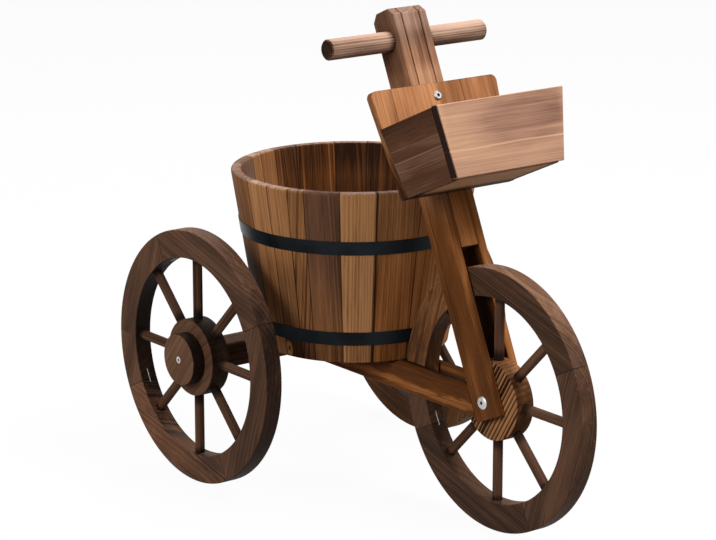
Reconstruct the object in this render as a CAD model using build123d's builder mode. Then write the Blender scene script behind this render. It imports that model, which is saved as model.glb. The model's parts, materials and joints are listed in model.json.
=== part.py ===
from build123d import *
from math import atan, cos, radians, sin, tan
import os

# Tricycle plant stand, in millimetres
# Origin on the ground below the middle of the wheelbase, +X forward, +Y to the rider's left, +Z up

# Wheels, all three alike
wheel_diameter = 320
rim_width = 35
rim_thickness = 23
felloe_count = 4
felloe_joint_angle = 27
felloe_gap = 0.2
hub_diameter = 97
hub_thickness = 26
spoke_count = 8
spoke_diameter = 12
spoke_tenon = 15
wheel_softening = 1.5

# Clearances
glue_clearance = 0.05
running_clearance = 0.05
hub_play = 0.5
hole_slack = 0.5

# Softened edges of the boards
edge_softening = 0.8

# Rear beam, its turned ends and the caps on them
wheelbase = 366
rear_track = 355
deck_rise = 14
beam_depth = 38
beam_height = 31
beam_chamfer = 1.5
axle_diameter = 24
cap_diameter = 65
cap_thickness = 17
cap_softening = 1.5
cap_screw_length = 50

# Rails that carry the tub
rail_height = 36.5
rail_thickness = 11
rail_top_chamfer = 5
rail_bottom_chamfer = 1.5
rail_screw_drop = 24
rail_screw_length = 80
dowel_diameter = 6
dowel_length = 24

# Fork and handlebar, with heights along the slope of the fork
fork_rake = 23.9
fork_rise = 320
leg_width = 42
leg_thickness = 11
leg_tail = 21
leg_corner = 9
spacer_lift = 23
handlebar_diameter = 25
handlebar_length = 235
handlebar_drop = 37.5
handlebar_chamfer = 1.5

# Front axle: a socket bolt in a sleeve nut
sleeve_diameter = 10
sleeve_relief = 2
bolt_diameter = 6
bolt_length = 30
bolt_head_diameter = 16
bolt_head_height = 2.5
bolt_head_bevel = 1.3
socket_sides = 6
socket_across = 4
socket_depth = 1.8

# Basket on the front of the fork, with heights along the slope of the fork
board_thickness = 11
basket_lift = 89.5
basket_height = 85
basket_width = 162
basket_depth = 98.5
basket_flare = 9.5
back_height = 131
back_bottom_width = 166
back_top_width = 192
back_corner = 8
basket_screw_heights = (45, 115)
basket_screw_head = 11
basket_screw_length = 40

# Staved tub
tub_height = 218.5
tub_top_diameter = 306
tub_bottom_diameter = 235
tub_fork_gap = 0.5
tub_wheel_gap = 2
stave_thickness = 13
stave_widths = (14, 11.5, 8.5, 17, 17, 22)
stave_rounds = 4
first_stave_angle = -95.2
rim_softening = 3
tub_bottom_thickness = 12
hoop_width = 17
hoop_thickness = 1
lower_hoop_rise = 22.8
upper_hoop_rise = 140.3
tub_screw_setback = 17.5
tub_screw_spacing = 100
tub_screw_length = 30

# Countersunk wood screws
screw_diameter = 4.5
screw_head_diameter = 8.6
screw_tip_length = 6
screw_point_diameter = 1.2
countersink_angle = 90
recess_length = 4.6
recess_width = 1.2
recess_depth = 1.6

# Derived sizes and places
wheel_radius = wheel_diameter / 2
hub_radius = hub_diameter / 2
rim_inner_radius = wheel_radius - rim_width
front_x = wheelbase / 2
rear_x = -wheelbase / 2
deck_height = wheel_radius + deck_rise
fork_gap = hub_thickness + 2 * hub_play
leg_y = (fork_gap + leg_thickness) / 2
rail_y = (fork_gap + rail_thickness) / 2
fork_half_width = fork_gap / 2 + leg_thickness
beam_half_length = rear_track / 2 - hub_thickness / 2 - hub_play
axle_half_length = rear_track / 2 + hub_thickness / 2 + hub_play
cap_face_y = axle_half_length + cap_thickness
rail_back_x = rear_x + beam_depth / 2
rake = radians(fork_rake)
fork_top = wheel_radius + fork_rise
handlebar_height = fork_top - handlebar_drop
basket_base = wheel_radius + basket_lift
basket_inside = leg_width / 2 + board_thickness
flare = radians(basket_flare)
tub_lean = atan((tub_top_diameter - tub_bottom_diameter) / 2 / tub_height)
sides = {"right": -1, "left": 1}


def leg_back_x(height):
    """Where the back edge of the fork stands at a given height above the ground."""
    return front_x - (height - wheel_radius) * tan(rake) - leg_width / 2 / cos(rake)


# The tub stands as far forward as the fork and the front wheel allow
tub_x_at_fork = leg_back_x(deck_height + tub_height) - tub_fork_gap - tub_top_diameter / 2
wheel_reach = (wheel_radius + tub_wheel_gap - deck_rise * sin(tub_lean)) / cos(tub_lean)
tub_x_at_wheel = front_x - wheel_reach - tub_bottom_diameter / 2
tub_x = min(tub_x_at_fork, tub_x_at_wheel)
tub_axis = Axis((tub_x, 0, deck_height), (0, 0, 1))

# The fork's own frame: x forward out of the fork, z up along it, origin on the front axle
fork_frame = Plane(origin=(front_x, 0, wheel_radius), x_dir=(cos(rake), 0, sin(rake)),
                   z_dir=(-sin(rake), 0, cos(rake)))

on_base = (Align.CENTER, Align.CENTER, Align.MIN)
below_base = (Align.CENTER, Align.CENTER, Align.MAX)
os.makedirs("parts", exist_ok=True)


def store(piece, name):
    """Label a finished piece and write it under its name."""
    piece.part.label = name
    export_step(piece.part, f"parts/{name}.step")


def on_fork(plane):
    """Carry a plane from the ground frame into the frame of the fork."""
    return Plane(fork_frame * plane)


def screw_holes(seats, length):
    """Cut countersunk holes at seat planes whose normals point out of the wood."""
    with Locations(*seats):
        CounterSinkHole(radius=screw_diameter / 2 + glue_clearance,
                        counter_sink_radius=screw_head_diameter / 2 + glue_clearance,
                        depth=length + hole_slack, counter_sink_angle=countersink_angle)


def wood_screws(name, seats, length):
    """Make one countersunk screw at each seat, as a group of separate solids."""
    shank = screw_diameter / 2
    head = screw_head_diameter / 2
    head_height = (head - shank) / tan(radians(countersink_angle / 2))
    with BuildPart() as screws:
        with Locations(*seats):
            Cone(shank, head, head_height, align=below_base)
            Cylinder(shank, length - screw_tip_length, align=below_base)
        with Locations(*[seat.offset(screw_tip_length - length) for seat in seats]):
            Cone(screw_point_diameter / 2, shank, screw_tip_length, align=below_base)
        for seat in seats:
            with BuildSketch(seat):
                Rectangle(recess_length, recess_width)
                Rectangle(recess_width, recess_length)
            extrude(amount=-recess_depth, mode=Mode.SUBTRACT)
    store(screws, name)


def button_heads(seats, head_diameter):
    """Add a round head with a bevelled rim on the face at each seat."""
    radius = head_diameter / 2
    rim_height = bolt_head_height - bolt_head_bevel
    with Locations(*seats):
        Cylinder(radius, rim_height, align=on_base)
    with Locations(*[seat.offset(rim_height) for seat in seats]):
        Cone(radius, radius - bolt_head_bevel, bolt_head_bevel, align=on_base)


def socket_screws(name, seats, head_diameter, length):
    """Make one hex socket screw at each seat, with its head on the face."""
    with BuildPart() as screws:
        button_heads(seats, head_diameter)
        with Locations(*seats):
            Cylinder(bolt_diameter / 2, length, align=below_base)
        for seat in seats:
            with BuildSketch(seat.offset(bolt_head_height)):
                RegularPolygon(socket_across / 2, socket_sides, major_radius=False)
            extrude(amount=-socket_depth, mode=Mode.SUBTRACT)
    store(screws, name)


def spoke_rods(seats, radius, slack, mode):
    """Add or cut a round rod along each spoke's line, from inside the hub to inside the rim."""
    start = hub_radius - spoke_tenon - slack
    end = rim_inner_radius + spoke_tenon + slack
    with Locations(*[seat.offset(start) for seat in seats]):
        Cylinder(radius, end - start, align=on_base, mode=mode)


def build_wheel(name, x, y, bore_diameter):
    """Make the felloes, spokes and hub of one wheel that turns about Y."""
    middle = Plane(origin=(x, y, wheel_radius), x_dir=(1, 0, 0), z_dir=(0, -1, 0))
    angles = [radians(360 / spoke_count * number) for number in range(spoke_count)]
    seats = [Plane(origin=middle.origin, x_dir=(0, 1, 0), z_dir=(cos(angle), 0, sin(angle)))
             for angle in angles]
    mortise = spoke_diameter / 2 + glue_clearance

    with BuildPart() as felloes:
        with BuildSketch(middle):
            Circle(wheel_radius)
            Circle(rim_inner_radius, mode=Mode.SUBTRACT)
        extrude(amount=rim_thickness / 2, both=True)
        fillet(felloes.edges().filter_by(GeomType.CIRCLE), wheel_softening)
        with BuildSketch(middle):
            with PolarLocations(wheel_radius - rim_width / 2, felloe_count, start_angle=felloe_joint_angle):
                Rectangle(2 * rim_width, felloe_gap)
        extrude(amount=rim_thickness, both=True, mode=Mode.SUBTRACT)
        spoke_rods(seats, mortise, hole_slack, Mode.SUBTRACT)
    store(felloes, f"{name}_felloes")

    with BuildPart() as spokes:
        spoke_rods(seats, spoke_diameter / 2, 0, Mode.ADD)
    store(spokes, f"{name}_spokes")

    with BuildPart() as hub:
        with BuildSketch(middle):
            Circle(hub_radius)
            Circle(bore_diameter / 2, mode=Mode.SUBTRACT)
        extrude(amount=hub_thickness / 2, both=True)
        fillet(hub.edges().filter_by(GeomType.CIRCLE).group_by(SortBy.RADIUS)[-1], wheel_softening)
        spoke_rods(seats, mortise, hole_slack, Mode.SUBTRACT)
    store(hub, f"{name}_hub")


# Wheels: the front one turns on the sleeve, the rear ones on the turned ends of the beam
build_wheel("front_wheel", front_x, 0, sleeve_diameter + 2 * running_clearance)
for side_name, side in sides.items():
    build_wheel(f"{side_name}_wheel", rear_x, side * rear_track / 2, axle_diameter + 2 * running_clearance)

# Seats of the screws, each with its normal out of the wood
cap_seats = [Plane(origin=(rear_x, side * cap_face_y, wheel_radius), z_dir=(0, side, 0))
             for side in sides.values()]
rail_screw_height = deck_height - rail_screw_drop
rail_seats = [Plane(origin=(rear_x - beam_depth / 2, side * rail_y, rail_screw_height), z_dir=(-1, 0, 0))
              for side in sides.values()]
tub_screw_x = rail_back_x + tub_screw_setback
tub_seats = [Plane(origin=(x, side * rail_y, deck_height + tub_bottom_thickness), z_dir=(0, 0, 1))
             for side in sides.values()
             for x in (tub_screw_x, tub_screw_x + tub_screw_spacing)]

# Rear beam with a round axle at each end
with BuildPart() as rear_beam:
    with Locations((rear_x, 0, deck_height - beam_height / 2)):
        Box(beam_depth, 2 * beam_half_length, beam_height)
    chamfer(rear_beam.edges().filter_by(Axis.Y), beam_chamfer)
    for side in sides.values():
        shoulder = Plane(origin=(rear_x, side * beam_half_length, wheel_radius), z_dir=(0, side, 0))
        with BuildSketch(shoulder):
            Circle(axle_diameter / 2)
        extrude(amount=axle_half_length - beam_half_length)
    screw_holes(cap_seats, cap_screw_length)
    screw_holes(rail_seats, rail_screw_length)
store(rear_beam, "rear_beam")

# Caps that keep the rear wheels on
for side_name, side in sides.items():
    with BuildPart() as cap:
        with BuildSketch(Plane(origin=(rear_x, side * axle_half_length, wheel_radius), z_dir=(0, side, 0))):
            Circle(cap_diameter / 2)
        extrude(amount=cap_thickness)
        fillet(cap.edges().filter_by(GeomType.CIRCLE), cap_softening)
        screw_holes(cap_seats, cap_screw_length)
    store(cap, f"{side_name}_cap")

wood_screws("cap_screws", cap_seats, cap_screw_length)
wood_screws("rail_screws", rail_seats, rail_screw_length)
wood_screws("tub_screws", tub_seats, tub_screw_length)

# Rails from the beam to the back of the fork legs, and the dowels in that joint
rail_base = deck_height - rail_height
joint_height = deck_height - rail_height / 2
dowel_seats = [Plane(origin=(leg_back_x(joint_height), side * rail_y, joint_height), z_dir=fork_frame.x_dir)
               for side in sides.values()]


def dowels(radius, slack, mode):
    """Add or cut the dowels that cross the joint between rail and leg."""
    with Locations(*dowel_seats):
        Cylinder(radius, dowel_length + 2 * slack, mode=mode)


for side_name, side in sides.items():
    with BuildPart() as rail:
        with BuildSketch(Plane.XZ.offset(-side * rail_y)):
            with BuildLine():
                Polyline((rail_back_x, rail_base), (leg_back_x(rail_base), rail_base),
                         (leg_back_x(deck_height), deck_height), (rail_back_x, deck_height), close=True)
            make_face()
        extrude(amount=rail_thickness / 2, both=True)
        inner, outer = (0, -1) if side > 0 else (-1, 0)
        chamfer(rail.edges().filter_by(Axis.X).group_by(Axis.Y)[inner], edge_softening)
        chamfer(rail.edges().filter_by(Axis.X).group_by(Axis.Y)[outer].sort_by(Axis.Z)[-1], rail_top_chamfer)
        chamfer(rail.edges().filter_by(Axis.X).group_by(Axis.Y)[outer].sort_by(Axis.Z)[0], rail_bottom_chamfer)
        dowels(dowel_diameter / 2 + glue_clearance, hole_slack, Mode.SUBTRACT)
        screw_holes(rail_seats, rail_screw_length)
        screw_holes(tub_seats, tub_screw_length)
    store(rail, f"{side_name}_rail")

with BuildPart() as rail_dowels:
    dowels(dowel_diameter / 2, 0, Mode.ADD)
store(rail_dowels, "rail_dowels")

# Fork: two legs with a spacer between them above the wheel
basket_seats = [on_fork(Plane(origin=(basket_inside, 0, basket_base + height), z_dir=(1, 0, 0)))
                for height in basket_screw_heights]


def fork_layer(bottom):
    """Draw one layer of the fork from the given height to its top."""
    with Locations((0, bottom)):
        Rectangle(leg_width, fork_top - bottom, align=(Align.CENTER, Align.MIN))


for side_name, side in sides.items():
    with BuildPart() as leg:
        with BuildSketch(on_fork(Plane.XZ.offset(-side * leg_y))) as outline:
            fork_layer(-leg_tail)
            chamfer(outline.vertices().group_by(Axis.Y)[-1], leg_corner)
        extrude(amount=leg_thickness / 2, both=True)
        chamfer(leg.edges(), edge_softening)
        with BuildSketch(on_fork(Plane.XZ.offset(-side * leg_y))):
            Circle(sleeve_diameter / 2 + glue_clearance)
            with Locations((0, handlebar_height)):
                Circle(handlebar_diameter / 2 + glue_clearance)
        extrude(amount=leg_thickness, both=True, mode=Mode.SUBTRACT)
        dowels(dowel_diameter / 2 + glue_clearance, hole_slack, Mode.SUBTRACT)
    store(leg, f"{side_name}_leg")

with BuildPart() as fork_spacer:
    with BuildSketch(on_fork(Plane.XZ)) as outline:
        fork_layer(wheel_radius + spacer_lift)
        chamfer(outline.vertices().group_by(Axis.Y)[-1], leg_corner)
    extrude(amount=fork_gap / 2, both=True)
    chamfer(fork_spacer.edges(), edge_softening)
    with BuildSketch(on_fork(Plane.XZ)):
        with Locations((0, handlebar_height)):
            Circle(handlebar_diameter / 2 + glue_clearance)
    extrude(amount=fork_gap, both=True, mode=Mode.SUBTRACT)
    with Locations(*basket_seats):
        Hole(bolt_diameter / 2 + glue_clearance, depth=basket_screw_length + hole_slack)
store(fork_spacer, "fork_spacer")

with BuildPart() as handlebar:
    with BuildSketch(on_fork(Plane.XZ)):
        with Locations((0, handlebar_height)):
            Circle(handlebar_diameter / 2)
    extrude(amount=handlebar_length / 2, both=True)
    chamfer(handlebar.edges().filter_by(GeomType.CIRCLE), handlebar_chamfer)
store(handlebar, "handlebar")

# Front axle: the bolt's head on the right leg, the nut's head on the left leg
bolt_seat = Plane(origin=(front_x, -fork_half_width, wheel_radius), z_dir=(0, -1, 0))
nut_seat = Plane(origin=(front_x, fork_half_width, wheel_radius), z_dir=(0, 1, 0))
socket_screws("front_axle_bolt", [bolt_seat], bolt_head_diameter, bolt_length)

with BuildPart() as front_axle_nut:
    button_heads([nut_seat], bolt_head_diameter)
    with Locations(nut_seat):
        Cylinder(sleeve_diameter / 2, 2 * fork_half_width - sleeve_relief, align=below_base)
    with Locations(bolt_seat):
        Hole(bolt_diameter / 2 + glue_clearance, depth=bolt_length + hole_slack)
store(front_axle_nut, "front_axle_nut")

# Basket: a back board on the fork, then a flared front, two sides and a bottom
back_plane = on_fork(Plane(origin=(leg_width / 2, 0, basket_base), x_dir=(0, 1, 0), z_dir=(1, 0, 0)))
inside_plane = back_plane.offset(board_thickness)
front_plane = on_fork(Plane(origin=(basket_inside + basket_depth, 0, basket_base), x_dir=(0, 1, 0),
                            z_dir=(cos(flare), 0, -sin(flare))))
front_inner = front_plane.offset(-board_thickness)
side_inners = [on_fork(Plane(origin=(basket_inside, side * basket_width / 2, basket_base), x_dir=(1, 0, 0),
                             z_dir=(0, side * cos(flare), -sin(flare)))).offset(-board_thickness)
               for side in sides.values()]
basket_top_width = basket_width + 2 * basket_height * tan(flare)
wall_length = basket_height / cos(flare)
longest_depth = basket_depth + basket_height * tan(flare)


def tapered_board(bottom_width, top_width, height):
    """Draw a board that widens upwards, standing on the sketch's own x axis."""
    Polygon((-bottom_width / 2, 0), (bottom_width / 2, 0), (top_width / 2, height), (-top_width / 2, height),
            align=None)


with BuildPart() as basket_back:
    with BuildSketch(back_plane) as outline:
        tapered_board(back_bottom_width, back_top_width, back_height)
        fillet(outline.vertices().group_by(Axis.Y)[-1], back_corner)
    extrude(amount=board_thickness)
    chamfer(basket_back.edges(), edge_softening)
    with Locations(*basket_seats):
        Hole(bolt_diameter / 2 + glue_clearance, depth=basket_screw_length)
store(basket_back, "basket_back")

with BuildPart() as basket_front:
    with BuildSketch(front_plane):
        tapered_board(basket_width, basket_top_width, wall_length)
    extrude(amount=-board_thickness)
    chamfer(basket_front.edges(), edge_softening)
store(basket_front, "basket_front")

for side_name, side in sides.items():
    with BuildPart() as basket_side:
        with BuildSketch(inside_plane) as outline:
            with Locations((side * basket_width / 2, 0)):
                Rectangle(board_thickness, wall_length, rotation=-side * basket_flare,
                          align=(Align.MAX if side > 0 else Align.MIN, Align.MIN))
            chamfer(outline.vertices(), edge_softening)
        extrude(amount=longest_depth)
        split(bisect_by=front_inner, keep=Keep.BOTTOM)
    store(basket_side, f"basket_{side_name}_side")

with BuildPart() as basket_bottom:
    with BuildSketch(inside_plane):
        Rectangle(basket_top_width, board_thickness, align=(Align.CENTER, Align.MIN))
    extrude(amount=longest_depth)
    split(bisect_by=front_inner, keep=Keep.BOTTOM)
    for side_inner in side_inners:
        split(bisect_by=side_inner, keep=Keep.BOTTOM)
store(basket_bottom, "basket_bottom")

socket_screws("basket_screws", basket_seats, basket_screw_head, basket_screw_length)

# Tub: staves as sectors of one conical wall, a bottom inside them and two hoops outside
wall_span = stave_thickness / cos(tub_lean)


def tub_radius(height):
    """Outer radius of the tub at a height above the deck."""
    return tub_bottom_diameter / 2 + height * tan(tub_lean)


def tub_section(angle):
    """The upright plane through the tub's axis at an angle, with its x axis pointing outwards."""
    outward = (cos(angle), sin(angle), 0)
    return Plane(origin=tub_axis.position, x_dir=outward, z_dir=(sin(angle), -cos(angle), 0))


stave_angle = first_stave_angle
stave_scale = 360 / (stave_rounds * sum(stave_widths))
for number, width in enumerate(stave_widths * stave_rounds, start=1):
    with BuildPart() as stave:
        with BuildSketch(tub_section(radians(stave_angle))) as outline:
            with BuildLine():
                Polyline((tub_radius(0), 0), (tub_radius(tub_height), tub_height),
                         (tub_radius(tub_height) - wall_span, tub_height), (tub_radius(0) - wall_span, 0),
                         close=True)
            make_face()
            fillet(outline.vertices().group_by(Axis.Y)[-1], rim_softening)
        revolve(axis=tub_axis, revolution_arc=width * stave_scale)
    store(stave, f"stave_{number:02d}")
    stave_angle += width * stave_scale

with BuildPart() as tub_bottom:
    edge = tub_radius(0) - wall_span - glue_clearance
    with BuildSketch(tub_section(0)):
        with BuildLine():
            Polyline((0, 0), (edge, 0), (edge + tub_bottom_thickness * tan(tub_lean), tub_bottom_thickness),
                     (0, tub_bottom_thickness), close=True)
        make_face()
    revolve(axis=tub_axis)
    screw_holes(tub_seats, tub_screw_length)
store(tub_bottom, "tub_bottom")

hoop_span = hoop_thickness / cos(tub_lean)
for hoop_name, rise in {"lower_hoop": lower_hoop_rise, "upper_hoop": upper_hoop_rise}.items():
    with BuildPart() as hoop:
        bottom_radius = tub_radius(rise) + glue_clearance
        top_radius = tub_radius(rise + hoop_width) + glue_clearance
        with BuildSketch(tub_section(0)):
            with BuildLine():
                Polyline((bottom_radius, rise), (bottom_radius + hoop_span, rise),
                         (top_radius + hoop_span, rise + hoop_width), (top_radius, rise + hoop_width),
                         close=True)
            make_face()
        revolve(axis=tub_axis)
    store(hoop, hoop_name)
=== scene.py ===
# %% [markdown]
# # A wooden tricycle that carries plants
# The real stand is sawn from fir, glued and screwed together, and then browned with a flame, so its
# boards run from caramel to nearly black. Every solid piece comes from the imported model. This lesson
# gives each board its own grain, the hoops their paint, the screws their zinc, and the studio its
# light. The model is loaded first, because later steps measure it where they can, instead of
# repeating its numbers.

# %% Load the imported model
import bpy
import json
from math import atan2, cos, pi, radians, sin
from mathutils import Matrix, Vector


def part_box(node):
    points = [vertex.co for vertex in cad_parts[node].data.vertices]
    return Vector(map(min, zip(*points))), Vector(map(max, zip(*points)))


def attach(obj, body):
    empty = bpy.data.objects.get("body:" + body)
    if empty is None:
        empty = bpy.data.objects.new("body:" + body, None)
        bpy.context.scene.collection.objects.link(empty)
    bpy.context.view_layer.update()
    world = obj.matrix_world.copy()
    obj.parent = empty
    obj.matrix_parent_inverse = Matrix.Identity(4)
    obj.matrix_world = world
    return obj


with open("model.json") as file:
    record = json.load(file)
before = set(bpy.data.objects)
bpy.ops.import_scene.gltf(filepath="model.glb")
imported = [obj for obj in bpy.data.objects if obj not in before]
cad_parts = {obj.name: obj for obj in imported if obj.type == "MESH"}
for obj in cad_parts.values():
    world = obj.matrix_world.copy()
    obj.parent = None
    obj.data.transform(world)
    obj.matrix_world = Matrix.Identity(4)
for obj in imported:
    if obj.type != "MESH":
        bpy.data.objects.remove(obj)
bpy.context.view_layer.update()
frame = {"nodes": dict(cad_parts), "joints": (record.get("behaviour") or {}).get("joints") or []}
nodes = frame["nodes"]
scene = bpy.context.scene
scene.view_settings.view_transform = "Standard"

# %% [markdown]
# ## Places to measure from
# A wheel turns about its joint, the tub is as round as its hoops, and the fork slopes from the front
# axle to the handlebar. These few places could be typed in, but measured from the model they stay
# right when a size changes.

# %% Axles, fork and tub
wheel_centre = {joint["child"]: Vector(joint["pos_m"]) for joint in frame["joints"]}
upright = Vector((0, 0, 1))
crosswise = Vector((0, 1, 0))
lengthwise = Vector((1, 0, 0))


def middle(node):
    """The centre of a node's box."""
    low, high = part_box(node)
    return (low + high) / 2


def half_width(node):
    """Half of a node's size across the stand."""
    low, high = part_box(node)
    return (high.y - low.y) / 2


fork_up = (middle("handlebar") - wheel_centre["front_wheel"]).normalized()
fork_forward = crosswise.cross(fork_up)
tub_centre = middle("lower_hoop")
hoop_rise = middle("upper_hoop").z - tub_centre.z
tub_lean = atan2(half_width("upper_hoop") - half_width("lower_hoop"), hoop_rise)
print("fork slopes along", fork_up, "and the tub's wall leans out by", tub_lean)

# %% [markdown]
# ## Camera
# The stand is seen from its front right and a little above. A long lens from three and a half metres
# keeps the near wheel and the far wheel close in size, which is how a catalogue shows furniture.

# %% Camera
camera_place = Vector((2.597, -2.0727, 1.1458))
camera_aim = Vector((-0.0889, 0, 0.2613))
camera_turn = (camera_aim - camera_place).to_track_quat("-Z", "Y").to_euler()
bpy.ops.object.camera_add(location=camera_place, rotation=camera_turn)
camera = bpy.context.object
camera.name = "camera"
camera.data.sensor_fit = "HORIZONTAL"
camera.data.sensor_width = 36
camera.data.lens = 141.49
camera.data.clip_end = 60
scene.camera = camera
print("camera", round((camera_aim - camera_place).length, 2), "m from the stand")

# %% [markdown]
# ## Arithmetic for finishes
# A finish is a network of small nodes. Wired by hand it soon gets hard to read, so one small class
# wraps a socket: adding or multiplying such sockets adds the Math nodes, and every other node comes
# from the class's one method.

# %% A socket that can be used in sums
class Field:
    """A socket of a node tree. Arithmetic on a value adds Math nodes."""

    def __init__(self, tree, socket=None):
        self.tree = tree
        self.socket = socket

    def node(self, kind, settings, sockets, output=0):
        """Add a node, set it up, fill or link its sockets, and give one of its outputs."""
        added = self.tree.nodes.new(kind)
        for name, value in settings.items():
            if name == "stops":
                elements = added.color_ramp.elements
                elements.remove(elements[1])
                elements[0].position, elements[0].color = value[0]
                for position, colour in value[1:]:
                    elements.new(position).color = colour
            else:
                setattr(added, name, value)
        for name, value in sockets.items():
            if isinstance(value, Field):
                self.tree.links.new(value.socket, added.inputs[name])
            else:
                added.inputs[name].default_value = value
        return Field(self.tree, added.outputs[output] if added.outputs else None)

    def also(self, output):
        """Another output of the node that this socket belongs to."""
        return Field(self.tree, self.socket.node.outputs[output])

    def parts(self):
        """The x, y and z of a vector."""
        x = self.node("ShaderNodeSeparateXYZ", {}, {0: self})
        return x, x.also("Y"), x.also("Z")

    def maths(self, operation, *others):
        """A Math node for this value and others."""
        sockets = dict(enumerate((self, *others)))
        return self.node("ShaderNodeMath", {"operation": operation}, sockets)

    def vector(self, operation, *others, output=0):
        """A Vector Math node for this vector and others."""
        sockets = dict(enumerate((self, *others)))
        return self.node("ShaderNodeVectorMath", {"operation": operation}, sockets, output)

    def dot(self, way):
        """How far this vector reaches along a direction."""
        return self.vector("DOT_PRODUCT", way, output="Value")

    def step(self, low, high):
        """A soft step from 0 to 1 between two values."""
        return self.node("ShaderNodeMapRange", {"interpolation_type": "SMOOTHSTEP"},
                         {"Value": self, "From Min": low, "From Max": high})

    def __add__(self, other):
        return self.maths("ADD", other)

    def __mul__(self, other):
        return self.maths("MULTIPLY", other)

    def __sub__(self, other):
        return self.maths("SUBTRACT", other)

    def __rsub__(self, other):
        return self.node("ShaderNodeMath", {"operation": "SUBTRACT"}, {0: other, 1: self})

    def __truediv__(self, other):
        return self.maths("DIVIDE", other)

    def __rtruediv__(self, other):
        return self.node("ShaderNodeMath", {"operation": "DIVIDE"}, {0: other, 1: self})

    __radd__ = __add__
    __rmul__ = __mul__


def start_nodes(holder):
    """Empty the node tree of a world or a material, and give a start for new nodes."""
    holder.use_nodes = True
    holder.node_tree.nodes.clear()
    return Field(holder.node_tree)


print("sockets can be added, subtracted, multiplied and divided")

# %% [markdown]
# ## Studio
# The stand is lit like goods for a catalogue: a large soft lamp ahead of it and to its left, a second
# one to its right, a third behind it, a faint glow from all round, and a white ground. The ground
# could be lit until it is white, but that would burn out the wood too, so it shows itself white to
# the camera and keeps a little of its shading for the shadow.

# %% Surroundings
def seen_directly(start):
    """1 where the camera, a mirror or a glass looks, 0 where a surface only gathers light."""
    path = start.node("ShaderNodeLightPath", {}, {}, "Is Camera Ray")
    looks = path + path.also("Is Glossy Ray") + path.also("Is Transmission Ray")
    return looks.maths("MINIMUM", 1.0)


room_glow = 0.11
room = bpy.data.worlds.new("room")
sky = start_nodes(room)
brightness = seen_directly(sky) * (1 - room_glow) + room_glow
sky = sky.node("ShaderNodeBackground", {}, {"Color": (1, 1, 1, 1), "Strength": brightness})
sky.node("ShaderNodeOutputWorld", {}, {"Surface": sky})
scene.world = room
print("room glow", room_glow)

# %% Lamps
softbox_size = 1.2


def softbox(name, place, aim, power):
    """Hang a square area lamp and point it at a place on the stand."""
    turn = (Vector(aim) - Vector(place)).to_track_quat("-Z", "Y").to_euler()
    bpy.ops.object.light_add(type="AREA", location=place, rotation=turn)
    lamp = bpy.context.object
    lamp.name = name
    lamp.data.size = softbox_size
    lamp.data.energy = power
    print(name, "of", power, "W")


softbox("front_softbox", (1.4, 0.65, 2.55), aim=(0, 0, 0.35), power=72)
softbox("side_softbox", (0.48, -2.74, 1.42), aim=(-0.1, 0, 0.3), power=46)
softbox("back_softbox", (-1.7, 1.1, 2.5), aim=(-0.1, 0, 0.3), power=40)

# %% Ground
ground_size = 30
paper_colour = (0.95, 0.95, 0.95, 1)
bounce_colour = (0.22, 0.21, 0.2, 1)
glowing_share = 0.955
bpy.ops.mesh.primitive_plane_add(size=ground_size)
ground = bpy.context.object
ground.name = "ground"
ground_finish = bpy.data.materials.new("ground_paper")
paper = start_nodes(ground_finish)
shaded = paper.node("ShaderNodeBsdfDiffuse", {}, {"Color": paper_colour})
glowing = paper.node("ShaderNodeEmission", {}, {"Color": (1, 1, 1, 1), "Strength": 1.0})
bounce = paper.node("ShaderNodeBsdfDiffuse", {}, {"Color": bounce_colour})
white = paper.node("ShaderNodeMixShader", {}, {0: glowing_share, 1: shaded, 2: glowing})
surface = paper.node("ShaderNodeMixShader", {}, {0: seen_directly(paper), 1: bounce, 2: white})
paper.node("ShaderNodeOutputMaterial", {}, {"Surface": surface})
ground.data.materials.append(ground_finish)
print("ground", tuple(ground.dimensions))

# %% [markdown]
# ## Flame-browned fir
# A board is cut from a tree, so its figure is where the board's faces cross the growth rings. Painted
# lines would not meet at the edges, so the finish works out how many years each point lay from the
# heart of the tree. Wood made early in a year browns little, and the hard line at the year's end
# browns most. The flame adds streaks and clouds.

# %% Colours from pale to burnt
def colour(red, green, blue):
    """A screen colour from 0 to 255 as the linear colour that nodes use."""
    linear = [((value / 255 + 0.055) / 1.055) ** 2.4 for value in (red, green, blue)]
    return (*linear, 1)


caramel = (colour(196, 142, 94), colour(152, 103, 64), colour(92, 58, 34), colour(38, 22, 14))
amber = (colour(216, 157, 110), colour(185, 126, 84), colour(115, 71, 39), colour(42, 23, 12))
honey = (colour(216, 166, 126), colour(188, 139, 106), colour(120, 81, 58), colour(38, 23, 15))
rose = (colour(222, 176, 138), colour(186, 141, 117), colour(124, 88, 72), colour(38, 24, 18))
ash = (colour(206, 169, 146), colour(158, 124, 105), colour(95, 63, 44), colour(38, 23, 15))
umber = (colour(140, 104, 80), colour(105, 74, 55), colour(67, 45, 32), colour(28, 17, 11))
russet = (colour(178, 126, 94), colour(136, 92, 66), colour(88, 60, 45), colour(32, 20, 14))
toffee = (colour(210, 147, 93), colour(180, 115, 64), colour(108, 63, 30), colour(36, 19, 8))
tone_places = (0.0, 0.33, 0.67, 1.0)


def browned(depth, tones):
    """The colour of fir that the flame has browned to a depth from 0 to 1."""
    stops = list(zip(tone_places, tones))
    return depth.node("ShaderNodeValToRGB", {"stops": stops}, {0: depth})


def mixed(share, first, second):
    """A colour between two. A Mix node takes its colours at sockets 6 and 7 and gives one at 2."""
    return share.node("ShaderNodeMix", {"data_type": "RGBA"}, {0: share, 6: first, 7: second}, 2)


print("eight tones of browned fir")

# %% [markdown]
# ## Rings and fibres
# A noise texture is stretched along the board until its blots become fibres, streaks or long clouds.
# How many waves of it fit in a metre along, across and into the board says which of these it is. The
# rings are circles about the tree's heart that wander a little, and good and bad years differ in
# width and in darkness.

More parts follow.
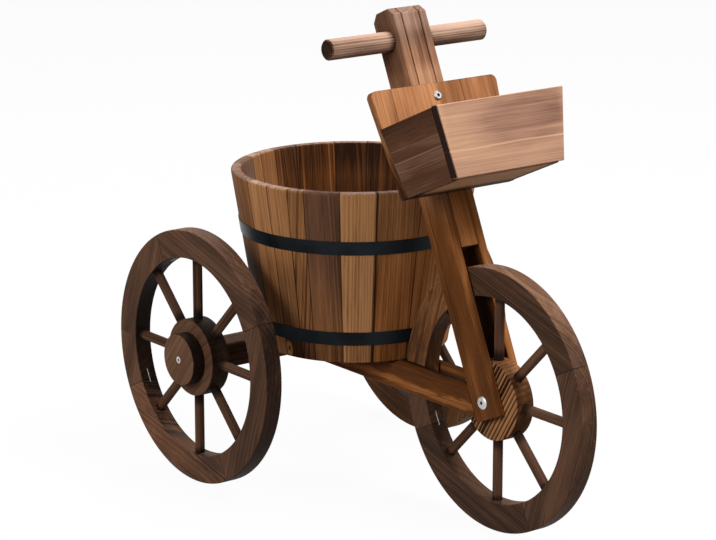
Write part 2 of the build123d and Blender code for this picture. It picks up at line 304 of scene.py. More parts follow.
# %% How the grain of one board is drawn
bend_waves = (2.2, 12, 12)
fibre_waves = (30, 700, 700)
streak_waves = (4, 120, 120)
cloud_waves = (5, 22, 22)
pale_waves = (2.5, 260, 260)
weather_pace = 0.35
weather_swing = 2.2
browning_season = (0.1, 0.75)
paling_season = (0.8, 1.0)
line_darkness = 0.9


def noise(place, waves, seed, detail=2.0):
    """Soft noise from 0 to 1, with so many waves in a metre along, across and into the board."""
    offset = (seed, seed * 1.7, seed * 2.3)
    spread = place.vector("MULTIPLY_ADD", waves, offset)
    return spread.node("ShaderNodeTexNoise", {"noise_dimensions": "3D"},
                       {"Vector": spread, "Scale": 1.0, "Detail": detail, "Roughness": 0.55})


def rings(place, spacing, heart, drift, wander, uneven, seed):
    """The dark late part of each year's growth, from 0 to 1. uneven makes the years differ."""
    along, across, into = place.parts()
    bend = noise(place, bend_waves, seed) - 0.5
    outward = across + along * drift + bend * wander + heart[0]
    inward = into + bend * wander + heart[1]
    reach = (outward * outward + inward * inward).maths("SQRT") / spacing
    weather = reach.node("ShaderNodeTexNoise", {"noise_dimensions": "1D"},
                         {"W": reach * weather_pace + seed, "Detail": 1.0})
    years = reach + weather * (weather_swing * uneven)
    year = years.maths("FLOOR")
    season = years - year
    late = season.step(*browning_season) * (1 - season.step(*paling_season))
    luck = year.node("ShaderNodeTexWhiteNoise", {"noise_dimensions": "1D"},
                     {"W": year + seed * 7.3})
    return late * (luck * uneven + (line_darkness - 0.5 * uneven))


print("waves in a metre of fibre:", fibre_waves)

# %% [markdown]
# ## The finish of one board
# tone is how brown a board is on the whole, and ring, fibre, streak and cloud say how strongly each
# part of the figure shows. A year of growth is spacing wide, its ring strays by wander, and uneven
# makes the years differ. heart is where the tree's heart lay, and drift is how the grain leans. calm
# keeps the rings to the widest face, pale adds light lines, and even weakens the figure on the inside
# of the tub. fade and tint bring in a second family of tones, along the board or where a mask says,
# and tint_ring makes the rings there stronger or weaker. shine is the polish, and seed picks another
# piece of the noise. Words that the function doesn't list are masks, each with the darkness that it
# adds. Each board could have a material wired for it alone, but then a change to the grain would
# have to be made some fifty times, so one function makes them all.

# %% Browned fir
usual_masks = {"end": 0.25, "edge": -0.1, "seam": 1.0, "shift": 1.0}
cloud_rim = (0.3, 0.7)
pale_rim = (0.56, 0.7)
fade_ragged = 0.04
usual_roughness = 0.72
late_polish = 0.1
fibre_roughness = 0.2
bump_strength = 0.35
bump_height = 0.0005


def fir(name, lay, tones, tone, ring=0.22, spacing=0.0036, heart=(0.03, 0.035), drift=0.0,
        wander=0.006, uneven=1.0, calm=0.0, streak=0.4, cloud=0.18, fibre=0.3, pale=0.0, even=0.0,
        fade=None, tint=None, tint_ring=0.0, shine=0.06, seed=1.0, **masks):
    """Make a material of browned fir. lay gives the place in the board and its masks."""
    finish = bpy.data.materials.new(name)
    laid = lay(start_nodes(finish))
    place = laid.pop("place")
    late = rings(place, spacing, heart, drift, wander, uneven, seed)
    if calm:
        late = late * (laid["face"] * calm + (1 - calm))
    if tint:
        late = late * (laid["tint"] * tint_ring + 1)
    fine = noise(place, fibre_waves, seed + 3)
    band = noise(place, streak_waves, seed + 5)
    burn = noise(place, cloud_waves, seed + 9, 3.0).step(*cloud_rim)
    grain = (late - 0.4) * ring + (fine - 0.5) * fibre
    figure = grain + (band - 0.5) * streak + (burn - 0.5) * cloud
    if even:
        figure = figure * (1 - laid["inside"] * even)
    depth = figure + tone
    if pale:
        depth = depth - noise(place, pale_waves, seed + 13).step(*pale_rim) * pale
    for mask, darkness in {**usual_masks, **masks}.items():
        if mask in laid:
            depth = depth + laid[mask] * darkness
    base = browned(depth, tones)
    if fade:
        other, low, high = fade
        along = place.parts()[0]
        share = (along + (burn - 0.5) * fade_ragged).step(low, high)
        base = mixed(share, base, browned(depth, other))
    if tint:
        base = mixed(laid["tint"], base, browned(depth, tint))
    rough = usual_roughness - late * late_polish + (fine - 0.5) * fibre_roughness
    height = late * 0.5 - fine * 0.5
    bump = height.node("ShaderNodeBump", {},
                       {"Strength": bump_strength, "Distance": bump_height, "Height": height})
    shader = base.node("ShaderNodeBsdfPrincipled", {},
                       {"Base Color": base, "Roughness": rough, "Specular IOR Level": shine,
                        "Normal": bump})
    shader.node("ShaderNodeOutputMaterial", {}, {"Surface": shader})
    return finish


def dress(node, finish):
    """Give a CAD node its finish."""
    nodes[node].data.materials.clear()
    nodes[node].data.materials.append(finish)


print("usual darkness of the masks:", usual_masks)

# %% [markdown]
# ## Straight boards
# Rails, fork, beam and basket are sawn boards. The grain runs along each board, its widest face shows
# the flat figure, its sawn ends drink more of the flame, and its bevelled edges are rubbed paler. The
# widest face is found by adding up the areas of the faces. Edges and ends could be painted by hand,
# but masks that come from the way a face looks, or from the distance to the board's middle, need no
# painting.

# %% The widest face of a board
one_side = Vector((1, 1.1, 1.2))


def widest_face(node):
    """The direction that most of a board's surface looks in, with opposite faces taken as one."""
    areas = {}
    for face in nodes[node].data.polygons:
        way = face.normal if face.normal.dot(one_side) > 0 else -face.normal
        key = tuple(round(value, 2) for value in way)
        areas[key] = areas.get(key, 0) + face.area
    return Vector(max(areas, key=areas.get)).normalized()


def half_length(node, along):
    """Half of a node's size in a direction."""
    places = [vertex.co.dot(along) for vertex in nodes[node].data.vertices]
    return (max(places) - min(places)) / 2


print("the basket's front looks along", widest_face("basket_front"))

# %% Lay of a straight board
square_on = (0.5, 0.9)
end_on = (0.55, 0.9)
turned_away = (-0.9, -0.5)
bevelled = (0.86, 0.97)
tip_length = 0.014
brim_width = 0.022
collar_blur = 0.012
glue_line = (0.0018, 0.0004)
split_line = (0.0004, 0.0017)
split_waves = (14, 8, 8)
split_wander = 0.006
tear_start = (0.001, 0.006)
tear_end = (0.010, 0.015)
tear_waves = (25, 90, 90)
tear_ragged = 0.016
beside_rim = (-0.06, 0.01)
spot_rim = (0.45, 1.15)
spot_waves = (20, 60, 60)
spot_ragged = 0.5


def board_lay(centre, along, face, reach=1.0, breadth=1.0, thickness=1.0, foot_at=(0.0, 0.01),
              head_at=(0.0, 0.01), spot=(0.0, 0.0, 0.05, 0.02), line=0.0, collar=0.0):
    """Coordinates along, across and into a board, with masks for what takes the flame differently."""
    along = along.normalized()
    across = face.cross(along).normalized()
    face = along.cross(across)
    turn = Matrix((along, across, face)).transposed().to_euler()

    def lay(start):
        point = start.node("ShaderNodeTexCoord", {}, {}, "Object")
        place = point.node("ShaderNodeMapping", {"vector_type": "TEXTURE"},
                           {"Vector": point, "Location": centre, "Rotation": turn})
        facing = point.also("Normal")
        looks = [facing.dot(way).maths("ABSOLUTE") for way in (along, across, face)]
        squarest = looks[0].maths("MAXIMUM", looks[1]).maths("MAXIMUM", looks[2])
        x, y, z = place.parts()
        ragged = y + (noise(place, tear_waves, 4.0) - 0.5) * tear_ragged
        spot_x = (x - spot[0]) / spot[2]
        spot_y = (y - spot[1]) / spot[3]
        from_spot = (spot_x * spot_x + spot_y * spot_y).maths("SQRT")
        from_spot = from_spot + (noise(place, spot_waves, 6.0) - 0.5) * spot_ragged
        from_line = y - line + (noise(place, split_waves, 7.0) - 0.5) * split_wander
        return {"place": place,
                "end": looks[0].step(*end_on),
                "face": looks[2].step(*square_on),
                # Faces that look up: painted light on most pieces, painted shade on the near rail.
                "upper": facing.dot(upright).step(*square_on),
                # Faces turned away from the widest face: painted shade.
                "back": 1 - facing.dot(face).step(*turned_away),
                "edge": 1 - squarest.step(*bevelled),
                "tip": x.maths("ABSOLUTE").step(reach - tip_length, reach),
                "brim": y.maths("ABSOLUTE").step(breadth - brim_width, breadth),
                # A ring where the handlebar enters the fork: painted shade.
                "collar": 1 - x.maths("ABSOLUTE").step(collar, collar + collar_blur),
                "glued": z.maths("ABSOLUTE").step(*[thickness - inset for inset in glue_line]),
                "torn": ragged.step(*tear_start) * (1 - ragged.step(*tear_end)),
                "beside": 1 - y.step(*beside_rim),
                # A dark spot: scorch on the basket's front, painted shade round the handlebar on the
                # fork.
                "scorch": 1 - from_spot.step(*spot_rim),
                "split": 1 - from_line.maths("ABSOLUTE").step(*split_line),
                # Towards the foot: painted shade, and on the handlebar painted light.
                "foot": 1 - x.step(*foot_at),
                "head": x.step(*head_at),
                "tint": x.step(*head_at)}
    return lay


print("a board's tips are", tip_length, "m long and its brims", brim_width, "m wide")

# %% Finish of a straight board
def board(node, along, tones, tone, places=None, **grain):
    """Finish one straight board. places says where its foot, head, spot, line or collar is."""
    face = widest_face(node)
    halves = [half_length(node, way) for way in (along, face.cross(along), face)]
    lay = board_lay(middle(node), along, face, *halves, **(places or {}))
    dress(node, fir(f"{node}_fir", lay, tones, tone, **grain))
    print(node, "in browned fir")


print("half of the near rail is", half_length("right_rail", lengthwise), "m long")

# %% [markdown]
# ## Undercarriage, fork and basket
# Each board now gets its tones and its own marks. The rails are nearly burnt, and the saw has torn
# the edge of the near one, which left pale splinters. The fork is glued from three layers, so dark
# lines run between them, and it greys towards its head. The basket's front was flamed least of all.
# One material for all of them would be quicker, but then the stand would look poured, not built.

# %% Undercarriage
# The beam's top is lighter: painted light.
board("rear_beam", crosswise, umber, 0.6, ring=0.3, spacing=0.005, heart=(0.02, 0.03), upper=-0.25,
      shine=0.03, seed=2.1)
# The rails' narrow faces are darker than their wide ones, and the near rail's top darker still:
# painted shade under the tub.
board("right_rail", lengthwise, toffee, 0.9, face=-0.16, upper=0.14, torn=-0.26, ring=0.1,
      heart=(-0.03, 0.03), drift=0.03, streak=0.28, seed=3.4)
board("left_rail", lengthwise, toffee, 0.9, face=-0.2, heart=(0.025, 0.03), drift=-0.02, seed=4.2)
board("rail_dowels", fork_forward, caramel, 0.3, edge=0, seed=4.9)

# %% Fork
grey_below_top = (0.065, 0.03)
bar_below_top = 0.05
fork_foot = (-0.03, 0.06)


def fork_places(layer):
    """Where a layer of the fork greys towards its head, with painted shade at its foot and round the
    bar.
    """
    top = half_length(layer, fork_up)
    return {"foot_at": fork_foot,
            "head_at": [top - below for below in grey_below_top],
            "spot": (top - bar_below_top, 0, 0.03, 0.2)}


# The fork's layers are darker at the foot, below the basket: painted shade.
fork_grain = {"ring": 0.12, "spacing": 0.004, "cloud": 0.22, "streak": 0.25, "foot": 0.08, "end": 0.4,
              "tint": ash}
board("right_leg", fork_up, toffee, 0.46, fork_places("right_leg"), fade=(honey, -0.02, 0.05),
      face=0.15, scorch=0.11, heart=(0.05, 0.03), seed=5.3, **fork_grain)
# The far leg's inner face is darker: painted shade.
board("left_leg", fork_up, toffee, 0.36, fork_places("left_leg"), fade=(honey, -0.02, 0.05),
      face=0.22, back=0.2, scorch=0.13, heart=(0.04, 0.03), seed=6.1, **fork_grain)
board("fork_spacer", fork_up, toffee, 0.29, fork_places("fork_spacer"), fade=(honey, -0.06, 0.0),
      glued=0.5, scorch=0.2, heart=(0.06, 0.03), seed=7.7, **fork_grain)

# %% Handlebar
bar_fade = 0.02
fork_half_width = (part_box("left_leg")[1].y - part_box("right_leg")[0].y) / 2
bar_places = {"collar": fork_half_width,
              "foot_at": (-fork_half_width - bar_fade, -fork_half_width),
              "head_at": (fork_half_width, fork_half_width + bar_fade)}
# The bar's top and its near handle are lighter and its far handle darker: painted light and shade. The
# dark ring where it enters the fork is painted shade.
board("handlebar", crosswise, ash, 0.24, bar_places, ring=0.28, spacing=0.003, heart=(0.012, 0.03),
      streak=0.6, cloud=0.4, upper=-0.28, foot=-0.08, head=0.08, end=0.68, tip=0.06, collar=0.45,
      edge=0, seed=8.2)

# %% Basket
front_places = {"spot": (0.03, 0.012, 0.09, 0.036), "line": -0.012, "head_at": (0.02, 0.1)}
# The back board's foot is darker, below the basket's side: painted shade.
board("basket_back", fork_up, amber, 0.52, {"foot_at": (-0.06, 0.01)}, face=-0.19, edge=0, ring=0.15,
      spacing=0.004, heart=(0.02, 0.05), streak=0.3, cloud=0.25, beside=0.12, foot=0.35, seed=9.6)
board("basket_front", crosswise, rose, 0.21, front_places, ring=0.07, spacing=0.004,
      heart=(0.012, 0.05), streak=0.09, cloud=0.1, fibre=0.2, pale=0.13, scorch=0.26, split=-0.3,
      brim=0.1, head=0.1, tip=-0.14, end=1.1, seed=10.4)
board("basket_right_side", fork_forward, ash, 0.65, ring=0.07, spacing=0.005, heart=(0.01, 0.03),
      streak=0.16, fibre=0.2, pale=0.12, beside=0.2, seed=11.3)
board("basket_left_side", fork_forward, ash, 0.6, ring=0.12, spacing=0.005, heart=(-0.01, 0.03),
      seed=12.8)
board("basket_bottom", crosswise, honey, 0.2, {"spot": (0, 0.06, 0.2, 0.04)}, scorch=0.7, seed=13.5)

# %% [markdown]
# ## Tub
# A cooper's staves each come from another board, so neighbours differ in colour and figure: that
# patchwork is what makes the tub. Each stave gets its own tone and rings, its grain follows the lean
# of the wall, and a dark line marks the joint to its neighbour. One joint near the fork has opened a
# little and gets a wider line. One stave has a small knot with a pale ring round it. Where the heart
# of the tree lay could be drawn at random, but a sine of the stave's number scatters it as well and
# gives the same tub at every run.

# %% The angles of a stave
def stave_span(node):
    """The angles about the tub's axis at which a stave starts and ends."""
    angles = []
    first = middle(node) - tub_centre
    centre = atan2(first.y, first.x)
    for vertex in nodes[node].data.vertices:
        out = vertex.co - tub_centre
        angles.append((atan2(out.y, out.x) - centre + pi) % (2 * pi) - pi)
    return centre + min(angles), centre + max(angles)


print("the first stave spans", stave_span("stave_01"))

# %% Lay of a stave
waist_rise = (0.065, 0.125)
brow_depth = (0.045, 0.012)
knot_rise = -0.021
knot_from_joint = 0.004
knot_slimness = 0.6
knot_rim = (0.001, 0.0026)
halo_rim = (0.004, 0.0075)
stave_foot = (-0.01, 0.01)
inner_side = (-0.7, -0.3)


def stave_lay(node, start_joint, end_joint):
    """Coordinates of a stave, with a dark line of the given width along each of its two joints."""
    low, high = stave_span(node)
    brim_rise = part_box(node)[1].z - tub_centre.z
    angle = (low + high) / 2
    half = (high - low) / 2
    outward = Vector((cos(angle), sin(angle), 0))
    along = upright * cos(tub_lean) + outward * sin(tub_lean)
    side = upright.cross(outward)
    outer_place = tub_centre + outward * half_width("lower_hoop")
    flat = board_lay(outer_place, along, outward, foot_at=stave_foot)

    def lay(start):
        laid = flat(start)
        point = start.node("ShaderNodeTexCoord", {}, {}, "Object")
        local = point.vector("SUBTRACT", tub_centre)
        reach = local.dot(outward)
        turn = local.dot(side).maths("ARCTAN2", reach)
        from_start = (turn + half) * reach
        from_end = (half - turn) * reach
        rise = local.parts()[2]
        inside = 1 - point.also("Normal").dot(outward).step(*inner_side)
        knot = ((rise - knot_rise) * knot_slimness).maths("POWER", 2.0)
        knot = (knot + (from_start - knot_from_joint).maths("POWER", 2.0)).maths("SQRT")
        laid["seam"] = (2 - from_start.step(0, start_joint) - from_end.step(0, end_joint)) * 0.5
        # The grey tint goes on faces that look up, the staves' tops: painted sheen.
        laid["tint"] = laid["upper"]
        laid["inside"] = inside
        # Below the upper hoop: painted shade.
        laid["waist"] = 1 - rise.step(*waist_rise)
        laid["brow"] = inside * rise.step(*[brim_rise - depth for depth in brow_depth])
        laid["halo"] = 1 - knot.step(*halo_rim)
        laid["knot"] = 1 - knot.step(*knot_rim)
        return laid
    return lay


print("a knot lies", -knot_rise, "m below the middle of the lower hoop")

# %% Looks of the staves: tones, tone, ring, spacing and marks
# Marks at the foot and below the upper hoop are painted shade. Marks inside darken the inner wall
# where it lies in shade and lighten it where it is lit: painted shade and light. Stave 7 is lighter
# along its edge beside the fork: a painted highlight.
stave_looks = {
    1: (caramel, 0.22, 0.28, 0.0028, {"waist": 0.3, "uneven": 0.6}),
    2: (caramel, 0.16, 0.2, 0.0034, {"waist": 0.26, "uneven": 0.6, "foot": 0.3, "halo": -0.8,
                                     "knot": 0.8}),
    3: (caramel, 0.37, 0.34, 0.0045, {"waist": 0.22, "foot": 0.18, "drift": 0.12}),
    4: (caramel, 0.58, 0.14, 0.004, {"waist": -0.08, "foot": 0.16, "inside": 0.2,
                                     "fade": (russet, -0.02, 0.14)}),
    5: (caramel, 0.08, 0.26, 0.0025, {"foot": 0.25, "seam": 1.4, "fibre": 0.5, "uneven": 0.4,
                                      "streak": 0.25}),
    6: (toffee, 0.36, 0.24, 0.0038, {"waist": 0.1, "foot": 0.1, "seam": 1.4,
                                     "fade": (caramel, 0.07, 0.16)}),
    7: (toffee, 0.27, 0.26, 0.0035, {"waist": 0.08, "foot": 0.14, "beside": -0.5,
                                     "fade": (caramel, 0.09, 0.18)}),
    8: (caramel, 0.2, 0.22, 0.0038, {}),
    9: (caramel, 0.55, 0.2, 0.0034, {}),
    10: (amber, 0.42, 0.26, 0.0034, {}),
    11: (caramel, 0.3, 0.2, 0.0045, {}),
    12: (caramel, 0.5, 0.26, 0.003, {}),
    13: (amber, 0.4, 0.2, 0.0038, {}),
    14: (toffee, 0.56, 0.24, 0.0034, {"inside": 0.28}),
    15: (toffee, 0.34, 0.24, 0.0038, {"inside": 0.42}),
    16: (toffee, 0.46, 0.2, 0.0038, {"inside": 0.46, "pale": 0.2}),
    17: (toffee, 0.42, 0.24, 0.0042, {"inside": 0.46, "pale": 0.25}),
    18: (toffee, 0.46, 0.24, 0.003, {"inside": 0.36, "pale": 0.25}),
    19: (amber, 0.45, 0.24, 0.0034, {"inside": 0.26, "pale": 0.2}),
    20: (caramel, 0.2, 0.24, 0.0045, {"inside": 0.02}),
    21: (caramel, 0.24, 0.2, 0.0034, {"inside": -0.1}),
    22: (ash, 0.46, 0.22, 0.0038, {"inside": -0.12}),
    23: (caramel, 0.35, 0.22, 0.0038, {}),
    24: (caramel, 0.47, 0.26, 0.0034, {"waist": 0.35}),
}
print("looks for", len(stave_looks), "staves")

# %% Twenty-four staves
fine_joint = 0.0011
open_joint = 0.0032
before_opening = 5
after_opening = 6
for number, (tones, tone, ring, spacing, marks) in stave_looks.items():
    node = f"stave_{number:02d}"
    start_joint = open_joint if number == after_opening else fine_joint
    end_joint = open_joint if number == before_opening else fine_joint
    heart = (0.05 * sin(number * 2.4), 0.022 + 0.03 * cos(number * 1.7) ** 2)
    grain = {"heart": heart, "even": 0.3, "end": 0.05, "drift": 0.05 * sin(number * 3.1), "edge": 0,
             "brow": 0.1, "tint": ash, "seed": 20 + number * 1.3, **marks}
    lay = stave_lay(node, start_joint, end_joint)
    dress(node, fir(f"{node}_fir", lay, tones, tone, ring=ring, spacing=spacing, **grain))
board("tub_bottom", lengthwise, caramel, 0.5, edge=0, seed=60.0)
print(len(stave_looks), "staves and the tub's bottom in browned fir")

# %% [markdown]
# ## Wheels
# A rim is glued from four felloes, and the grain of each runs straight along its chord, so the figure
# jumps at every joint. The felloes of a wheel are one node, so the finish finds the sector that a
# point lies in and turns its coordinates with it. Spokes work the same way, with eight sectors, and
# their grain runs outwards.

# %% Sizes of a wheel
rim_width = 0.035
rim_low, rim_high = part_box("front_wheel_felloes")
rim_inside = (rim_high.z - rim_low.z) / 2 - rim_width
hub_low, hub_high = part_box("front_wheel_hub")
hub_reach = (hub_high.z - hub_low.z) / 2
felloe_count = 4
felloe_joint = radians(27)
spoke_count = 8
print("rim from", rim_inside, "outwards, hub out to", hub_reach)

# %% Lay of the pieces of a wheel
no_sector = 9
joint_width = 0.0012
hub_shade = (0.004, 0.018)
rim_shade = 0.01
from_above = (0.3, 0.9)
looking_in = (-0.8, -0.4)
wane_reach = (0.0, 0.09)
wood_apart = 1.37
luck_apart = 31
luck_darkness = 0.08
broader_figure = 0.55
figure_middle = 0.12
figure_lean = 0.1
nearer_heart = (0.02, 0.018)


def sector_lay(centre, count, first, outward_grain, shifts=(), tinted=no_sector):
    """Coordinates for pieces in equal sectors round an axle, with one cut nearer the heart."""
    step = 2 * pi / count

    def lay(start):
        point = start.node("ShaderNodeTexCoord", {}, {}, "Object")
        local = point.vector("SUBTRACT", centre)
        x, y, z = local.parts()
        sector = ((z.maths("ARCTAN2", x) - first) / step).maths("FLOOR")
        turn = sector * step + (first + step / 2)
        outward = x * turn.maths("COSINE") + z * turn.maths("SINE")
        sideways = z * turn.maths("COSINE") - x * turn.maths("SINE")
        along, across = (outward, sideways) if outward_grain else (sideways, outward)
        tint = sector.maths("COMPARE", tinted, 0.5)
        close = 1 - tint * broader_figure
        place = x.node("ShaderNodeCombineXYZ", {},
                       {0: along + sector * wood_apart,
                        1: (across - figure_middle) * close + figure_middle - tint * nearer_heart[0],
                        2: y * close - tint * (along * figure_lean + nearer_heart[1])})
        luck = sector.node("ShaderNodeTexWhiteNoise", {"noise_dimensions": "1D"},
                           {"W": sector + centre.y * luck_apart})
        shift = (luck - 0.5) * luck_darkness
        for number, darkness in shifts:
            shift = shift + sector.maths("COMPARE", number, 0.5) * darkness
        facing = point.also("Normal")
        radial = local.vector("MULTIPLY", (1, 0, 1)).vector("NORMALIZE")
        from_joint = outward * sin(step / 2) - sideways.maths("ABSOLUTE") * cos(step / 2)
        at_hub = 1 - outward.step(*[hub_reach + past for past in hub_shade])
        at_rim = outward.step(rim_inside - rim_shade, rim_inside)
        return {"place": place,
                "shift": shift,
                "tint": tint,
                "face": facing.dot(crosswise).maths("ABSOLUTE").step(*square_on),
                # Faces that look up: painted light. The inside of the rim: painted shade.
                "upper": facing.dot(upright).step(*from_above),
                "hollow": 1 - facing.dot(radial).step(*looking_in),
                "wane": tint * along.step(*wane_reach),
                "joint": 1 - from_joint.step(0.0, joint_width),
                # Spokes darker where they meet the hub and the rim: painted shade.
                "socket": at_hub + at_rim}
    return lay


print("felloe joints are drawn", joint_width, "m wide on either side")

# %% Looks of the wheels
# Top faces of the wheels are lighter and the insides of the rims darker: painted light and shade. The
# rear wheels' treads and inner rims are darker than their faces: painted shade.
wheel_looks = {
    "front_wheel": {
        "tones": umber, "tone": 0.48, "shifts": ((-2, 0.14), (1, 0.16)), "tinted": 1,
        "marks": {"tint": caramel, "tint_ring": -0.4, "face": 0.06, "wane": 0.0, "upper": -0.4,
                  "hollow": 0.25},
        "hub_slant": 58},
    "right_wheel": {
        "tones": umber, "tone": 0.82, "shifts": ((-2, 0.05), (0, 0.05), (1, -0.03)), "tinted": -2,
        "marks": {"tint": russet, "tint_ring": 0.5, "face": -0.33, "wane": 0.16, "upper": -0.5,
                  "hollow": 0.25},
        "hub_slant": 40},
    "left_wheel": {
        "tones": caramel, "tone": 0.67, "shifts": ((-1, 0.05), (0, -0.05)), "tinted": 0,
        "marks": {"tint": russet, "tint_ring": 0.2, "face": -0.12, "wane": 0.1, "upper": -0.3,
                  "hollow": 0.6},
        "hub_slant": 70},
}
rim_grain = {"ring": 0.24, "spacing": 0.004, "heart": (-0.1, 0.03), "drift": 0.03, "pale": 0.14,
             "cloud": 0.26, "joint": 0.25, "shine": 0.1}
# Spokes are darker where they enter the hub and the rim: painted shade.
spoke_grain = {"tones": umber, "tone": 0.5, "ring": 0.2, "spacing": 0.003, "heart": (0.01, 0.03),
               "streak": 0.5, "socket": 0.55}
# The front hub's top is lighter: painted light. The rear hubs' sides are darker than their faces:
# painted shade.
striped_hub = {"tones": caramel, "tone": 1.0, "ring": 0.9, "spacing": 0.0055, "uneven": 0.35,
               "face": -0.48, "upper": -0.25, "wander": 0.003, "calm": 0.8}
plain_hub = {"tones": umber, "tone": 0.94, "ring": 0.2, "spacing": 0.004, "face": -0.52}
print("looks for", len(wheel_looks), "wheels")

# %% Felloes, spokes, hubs and caps
for number, (wheel, look) in enumerate(wheel_looks.items()):
    centre = wheel_centre[wheel]
    lay = sector_lay(centre, felloe_count, felloe_joint, False, look["shifts"], look["tinted"])
    dress(f"{wheel}_felloes",
          fir(f"{wheel}_felloe_fir", lay, look["tones"], look["tone"], seed=70 + number * 3.7,
              **rim_grain, **look["marks"]))
    lay = sector_lay(centre, spoke_count, -pi / spoke_count, True)
    dress(f"{wheel}_spokes",
          fir(f"{wheel}_spoke_fir", lay, seed=80 + number * 2.9, **spoke_grain))
    slant = radians(look["hub_slant"])
    lay = board_lay(centre, Vector((cos(slant), 0, sin(slant))), crosswise)
    hub_grain = striped_hub if wheel == "front_wheel" else plain_hub
    dress(f"{wheel}_hub",
          fir(f"{wheel}_hub_fir", lay, heart=(0.2, 0.02), end=0, edge=0, seed=90 + number * 1.9,
              **hub_grain))
    print(wheel, "in dark fir")
# The caps' sides are far darker than their faces: painted shade.
for cap, slant, seed in (("right_cap", 0.9, 97.0), ("left_cap", 0.7, 98.0)):
    grain_way = Vector((cos(slant), 0, sin(slant)))
    board(cap, grain_way, umber, 0.98, ring=0.14, face=-0.7, end=0, edge=0, seed=seed)

# %% [markdown]
# ## Steel
# The hoops are strip steel sprayed satin black, and the screws and bolts are zinc plated. Plain black
# and plain grey would look like plastic, so the paint gets a slight orange peel and the zinc a cloudy
# roughness. Bluish patches in the paint are painted glints, and the screw sockets get painted shade.

# %% Paint and zinc
hollow_depth = 0.005
hollow_rim = (0.45, 0.92)
dirt_share = 0.06
dust_rim = (0.3, 0.65)


def steel(name, shade, metallic, rough, peel_waves, peel_height, shine=0.25, dust=1.25, patches=60):
    """Steel whose roughness drifts between two values, with dust, painted sheen and painted shade in
    hollows.
    """
    finish = bpy.data.materials.new(name)
    point = start_nodes(finish).node("ShaderNodeTexCoord", {}, {}, "Object")
    cloud = noise(point, (patches, patches, patches), 2.0, 4.0)
    peel = noise(point, (peel_waves, peel_waves, peel_waves), 5.0)
    bump = peel.node("ShaderNodeBump", {},
                     {"Strength": 0.25, "Distance": peel_height, "Height": peel})
    clean = (*shade, 1)
    dusty = (*[value * dust for value in shade], 1)
    dirty = (*[value * dirt_share for value in shade], 1)
    # Where the ambient occlusion finds the surface enclosed, as in a screw's socket, the colour
    # darkens: painted shade.
    open_air = cloud.node("ShaderNodeAmbientOcclusion", {"samples": 8, "only_local": True},
                          {"Distance": hollow_depth}, "AO")
    base = mixed(cloud.step(*dust_rim), clean, dusty)
    base = mixed(open_air.step(*hollow_rim), dirty, base)
    low, high = rough
    shader = base.node("ShaderNodeBsdfPrincipled", {},
                       {"Base Color": base, "Metallic": metallic, "Specular IOR Level": shine,
                        "Normal": bump, "Roughness": cloud * (high - low) + low})
    shader.node("ShaderNodeOutputMaterial", {}, {"Surface": shader})
    return finish


# The hoops' bluish patches are painted glints, mixed into the paint's colour.
hoop_paint = steel("satin_black_paint", (0.0012, 0.0016, 0.002), metallic=0.0, rough=(0.24, 0.42),
                   peel_waves=700, peel_height=0.0003, shine=0.08, dust=12, patches=14)
zinc = steel("zinc_plate", (0.46, 0.46, 0.45), metallic=1.0, rough=(0.2, 0.5), peel_waves=1500,
             peel_height=0.0001)
wire = steel("dull_wire", (0.26, 0.25, 0.24), metallic=1.0, rough=(0.4, 0.6), peel_waves=1500,
             peel_height=0.0001)
for node in ("lower_hoop", "upper_hoop"):
    dress(node, hoop_paint)
for node in ("cap_screws", "rail_screws", "tub_screws", "basket_screws", "front_axle_bolt",
             "front_axle_nut"):
    dress(node, zinc)
print("hoops painted, screws plated")

# %% [markdown]
# ## Glue in the felloe joints
# The felloes meet with a hair of glue between them. Without it, daylight would shine through the joint
# when it is seen end on. One film is a thin plate with rounded corners, a little smaller than the
# rim's section, so that it only shows as a dark line. It is modelled once and copied into every
# joint, and it wears the finish of its own rim.

# %% One film of glue
film_thickness = 0.00026
film_inset = 0.0006
film_corner = 0.002
rim_depth = rim_high.y - rim_low.y
film_size = (film_thickness, rim_depth - 2 * film_inset, rim_width - 2 * film_inset)


def deselect_mesh(kind):
    """Deselect all of the active mesh, ready for choosing edges or faces in code."""
    bpy.ops.object.mode_set(mode="EDIT")
    bpy.ops.mesh.select_mode(type=kind)
    bpy.ops.mesh.select_all(action="DESELECT")
    bpy.ops.object.mode_set(mode="OBJECT")


bpy.ops.object.select_all(action="DESELECT")
bpy.ops.mesh.primitive_cube_add(size=1, scale=film_size)
film = bpy.context.object
film.name = "glue_film"
bpy.ops.object.transform_apply(location=True, rotation=True, scale=True)
deselect_mesh("EDGE")
for edge in film.data.edges:
    first, second = (film.data.vertices[number].co for number in edge.vertices)
    edge.select = abs(first.x - second.x) > film_thickness / 2
bpy.ops.object.mode_set(mode="EDIT")
bpy.ops.mesh.bevel(offset=film_corner, segments=4)
bpy.ops.object.mode_set(mode="OBJECT")
print("film of", len(film.data.polygons), "faces", tuple(film.dimensions))

# %% Twelve films in the joints
def joint_places(lift, slide):
    """The wheel, number and place of each felloe joint, lifted off the axle and slid along the rim."""
    for wheel, centre in wheel_centre.items():
        for quarter in range(felloe_count):
            angle = felloe_joint + quarter * 2 * pi / felloe_count
            outward = Vector((cos(angle), 0, sin(angle)))
            # The three directions are a turn and not a mirror, which would turn a copy inside out.
            along = Vector((sin(angle), 0, -cos(angle)))
            place = Matrix((along, crosswise, outward)).transposed().to_4x4()
            place.translation = centre + outward * lift + along * slide
            yield wheel, quarter + 1, place


def copy_to_joints(piece, lift, slide, finishes):
    """Put a copy of a piece on every felloe joint, in the finish of its wheel."""
    kind = piece.name
    for wheel, number, place in joint_places(lift, slide):
        copy = bpy.data.objects.new(f"{wheel}_{kind}_{number}", piece.data.copy())
        scene.collection.objects.link(copy)
        copy.data.transform(place)
        copy.data.materials.append(finishes[wheel])
        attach(copy, wheel)
    bpy.data.objects.remove(piece)
    print(kind, "on every felloe joint")


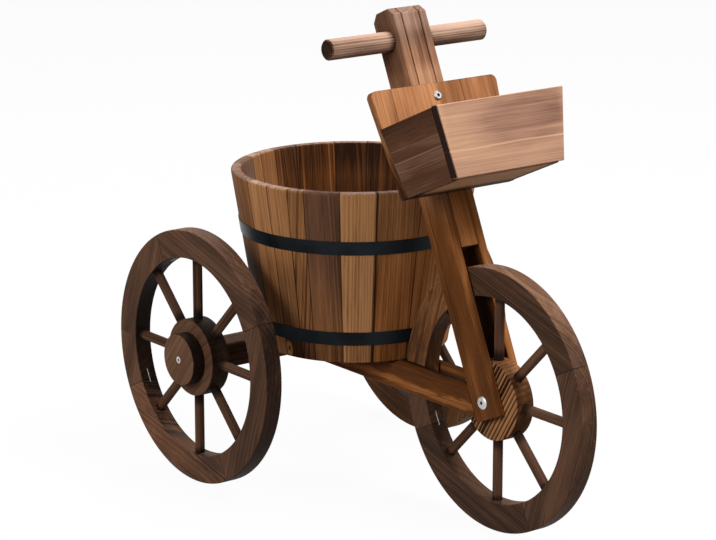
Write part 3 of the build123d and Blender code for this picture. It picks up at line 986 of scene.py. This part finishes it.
rim_finishes = {wheel: nodes[f"{wheel}_felloes"].data.materials[0] for wheel in wheel_centre}
copy_to_joints(film, rim_inside + rim_width / 2, 0, rim_finishes)

# %% [markdown]
# ## Staples across the felloe joints
# On the inside of each rim a wire staple bridges every joint between two felloes. It could be bent
# from a curve, but a short round bar whose two ends are spun over is closer to how the wire is bent.
# Spinning can turn faces inwards, so the doubles are merged and the normals recalculated at the end.
# One staple is modelled and copied. It sits a little to one side of its joint, partly sunk in the
# wood.

# %% One staple, bent from wire
wire_radius = 0.0007
crown_length = 0.0164
leg_length = 0.003
bend_radius = 0.0016
bend_steps = 4
merge_distance = wire_radius / 20
bpy.ops.object.select_all(action="DESELECT")
bpy.ops.mesh.primitive_cylinder_add(vertices=10, radius=wire_radius, depth=crown_length,
                                    rotation=(0, pi / 2, 0))
staple = bpy.context.object
staple.name = "staple"
bpy.ops.object.transform_apply(location=True, rotation=True, scale=True)
for sign in (-1, 1):
    deselect_mesh("FACE")
    for face in staple.data.polygons:
        at_end = face.center.x * sign > crown_length / 2 - wire_radius
        face.select = at_end and face.normal.x * sign > 0.9
    bpy.ops.object.mode_set(mode="EDIT")
    bpy.ops.mesh.spin(steps=bend_steps, angle=sign * pi / 2, axis=(0, 1, 0),
                      center=(sign * crown_length / 2, 0, bend_radius))
    bpy.ops.mesh.extrude_region_move(TRANSFORM_OT_translate={"value": (0, 0, leg_length)})
    bpy.ops.object.mode_set(mode="OBJECT")
bpy.ops.object.mode_set(mode="EDIT")
bpy.ops.mesh.select_all(action="SELECT")
bpy.ops.mesh.remove_doubles(threshold=merge_distance)
bpy.ops.mesh.normals_make_consistent(inside=False)
bpy.ops.object.mode_set(mode="OBJECT")
bpy.ops.object.shade_smooth_by_angle(angle=radians(40))
print("staple of", len(staple.data.polygons), "faces", tuple(staple.dimensions))

# %% Twelve staples on the rims
off_joint = 0.006
off_rim = 0.4 * wire_radius
staple_finishes = dict.fromkeys(wheel_centre, wire)
copy_to_joints(staple, rim_inside - off_rim, off_joint, staple_finishes)
